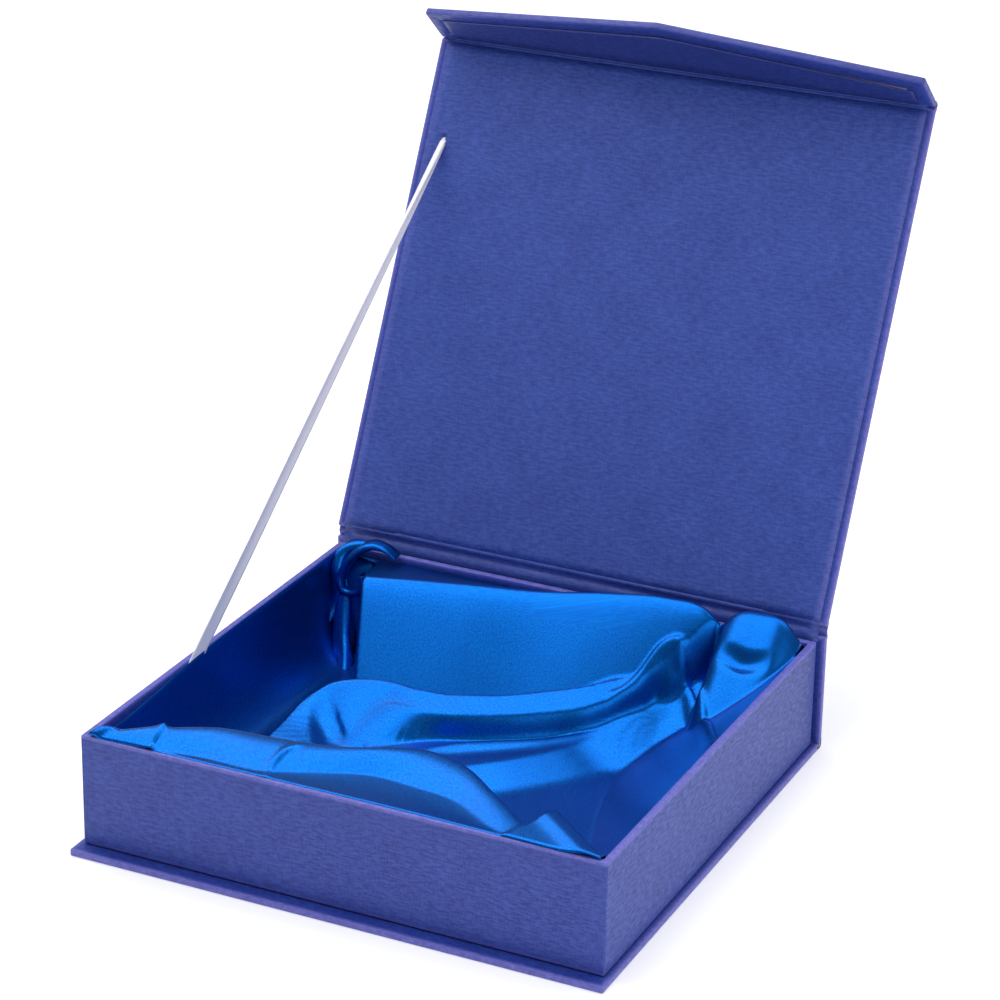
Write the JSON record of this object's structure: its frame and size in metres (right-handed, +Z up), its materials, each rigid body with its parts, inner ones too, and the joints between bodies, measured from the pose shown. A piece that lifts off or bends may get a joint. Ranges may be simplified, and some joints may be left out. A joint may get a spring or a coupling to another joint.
{
  "type": "presentation box",
  "caption": "Book-style rigid box covered in paper: a satin-lined tray on a base board, with a spine, a hinged lid, a pointed magnetic flap and a ribbon lid stay; modelled open.",
  "frame": {"origin": "centre of the base's flat underside", "axes": "+X to the box's right as seen from the flap's side, +Y from the front wall to the spine, +Z up"},
  "size_m": [0.225, 0.3196, 0.2773],
  "materials": {
    "wrap_paper": "linen-embossed royal blue covering paper, soft sheen",
    "liner_paper": "linen-embossed royal blue lining paper, soft sheen",
    "greyboard": "solid greyboard, uncoated",
    "stay_paper": "gummed kraft paper",
    "glue_pad": "double-sided foam adhesive",
    "satin": "bright azure blue satin",
    "ribbon": "white satin ribbon",
    "steel": "plain mild steel",
    "magnet": "nickel-plated magnet"
  },
  "bodies": {
    "tray": {"base_board": "greyboard", "base_wrap": "wrap_paper", "base_crease_paper": "wrap_paper", "spine_board": "greyboard", "spine_wrap": "wrap_paper", "spine_liner": "liner_paper", "spine_glue_pad_left": "glue_pad", "spine_glue_pad_right": "glue_pad", "lid_crease_paper": "wrap_paper", "lid_hinge_liner": "liner_paper", "tray_wrap": "wrap_paper", "tray_floor_board": "greyboard", "tray_wall_front": "greyboard", "tray_wall_back": "greyboard", "tray_wall_left": "greyboard", "tray_wall_right": "greyboard", "corner_stay_front_left": "stay_paper", "corner_stay_front_right": "stay_paper", "corner_stay_back_left": "stay_paper", "corner_stay_back_right": "stay_paper", "keeper_plate_left": "steel", "keeper_plate_right": "steel", "satin_lining": "satin", "ribbon_end_tray": "ribbon", "lid_stay_ribbon": "ribbon"},
    "lid": {"lid_board": "greyboard", "lid_wrap": "wrap_paper", "lid_liner": "liner_paper", "ribbon_end_lid": "ribbon", "flap_crease_paper": "wrap_paper"},
    "flap": {"flap_board": "greyboard", "flap_wrap": "wrap_paper", "flap_liner": "liner_paper", "flap_magnet_left": "magnet", "flap_magnet_right": "magnet"}
  },
  "joints": [
    {"name": "lid_hinge", "type": "hinge", "parent": "tray", "child": "lid", "pos_m": [0, 0.1109, 0.054], "axis": [-1, 0, 0], "range_deg": [-116.5, 0], "deforming": ["lid_stay_ribbon", "lid_hinge_liner"]},
    {"name": "flap_hinge", "type": "hinge", "parent": "lid", "child": "flap", "pos_m": [0, 0.20862, 0.24999], "axis": [-1, 0, 0], "range_deg": [-14, 76], "deforming": ["flap_crease_paper"]}
  ]
}
